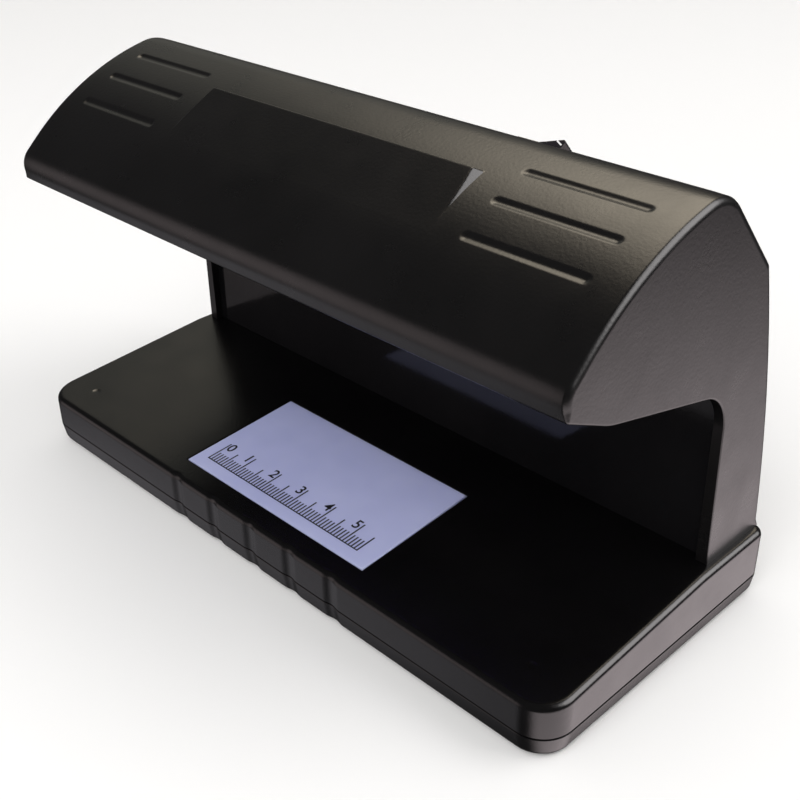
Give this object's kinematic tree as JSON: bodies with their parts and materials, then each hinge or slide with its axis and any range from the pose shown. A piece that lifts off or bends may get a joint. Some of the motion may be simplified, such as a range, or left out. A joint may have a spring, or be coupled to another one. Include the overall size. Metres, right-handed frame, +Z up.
{
  "type": "counterfeit bill detector",
  "caption": "Bench-top banknote checker: black hooded ultraviolet lamp over an open inspection bay, with a backlit ruler window in its sloping base.",
  "frame": {"origin": "centre of the footprint, on the surface the feet stand on", "axes": "+Z up, front towards -Y, +X to the right seen from the front"},
  "size_m": [0.18, 0.0776, 0.1043],
  "materials": {
    "shell_black": "satin moulded ABS",
    "bay_gloss": "glossy black moulding",
    "window_white": "translucent opal acrylic",
    "gasket_foam": "black foam",
    "white_plastic": "white moulded plastic",
    "feet_rubber": "matt rubber",
    "screw_steel": "zinc plated",
    "board_green": "printed circuit board",
    "board_white": "white solder mask",
    "led_yellow": "phosphor lens",
    "reflector_metal": "bright rolled sheet",
    "tube_glass": "filter glass",
    "cap_metal": "satin cap",
    "contact_brass": "tinned contact",
    "core_dark": "ferrite and tape",
    "capacitor_blue": "sleeved can",
    "terminal_green": "terminal block",
    "switch_black": "nylon, satin gloss"
  },
  "bodies": {
    "housing": {"base_deck": "shell_black", "base_cover": "shell_black", "rubber_feet": "feet_rubber", "base_screws": "screw_steel", "window_panel": "window_white", "window_gasket": "gasket_foam", "light_box": "white_plastic", "light_box_screws": "screw_steel", "led_board": "board_white", "led_lamps": "led_yellow", "hood_shell": "shell_black", "rear_cover": "shell_black", "rear_cover_screws": "screw_steel", "bay_back_panel": "bay_gloss", "lamp_cover": "shell_black", "lamp_cover_screws": "screw_steel", "reflector": "reflector_metal", "reflector_screws": "screw_steel", "lamp_holder_left": "white_plastic", "lamp_holder_right": "white_plastic", "lamp_holder_screws": "screw_steel", "ballast_board": "board_green", "ballast_screws": "screw_steel", "transformer": "core_dark", "capacitors": "capacitor_blue", "ballast_terminals": "terminal_green", "switch_frame": "switch_black", "rocker_pin": "screw_steel", "switch_terminals": "contact_brass", "cord_grommet": "feet_rubber"},
    "rocker": {"switch_rocker": "switch_black"},
    "lamp": {"uv_tube": "tube_glass", "tube_end_caps": "cap_metal", "tube_pins": "contact_brass"}
  },
  "joints": [
    {"name": "switch_toggle", "type": "hinge", "parent": "housing", "child": "rocker", "pos_m": [0.0375, 0.0171, 0.09562], "axis": [0, 0.6595, -0.7517], "range_deg": [0, 20]},
    {"name": "tube_twist", "type": "hinge", "parent": "housing", "child": "lamp", "pos_m": [0, -0.009, 0.0813], "axis": [1, 0, 0], "range_deg": [0, 90]}
  ]
}
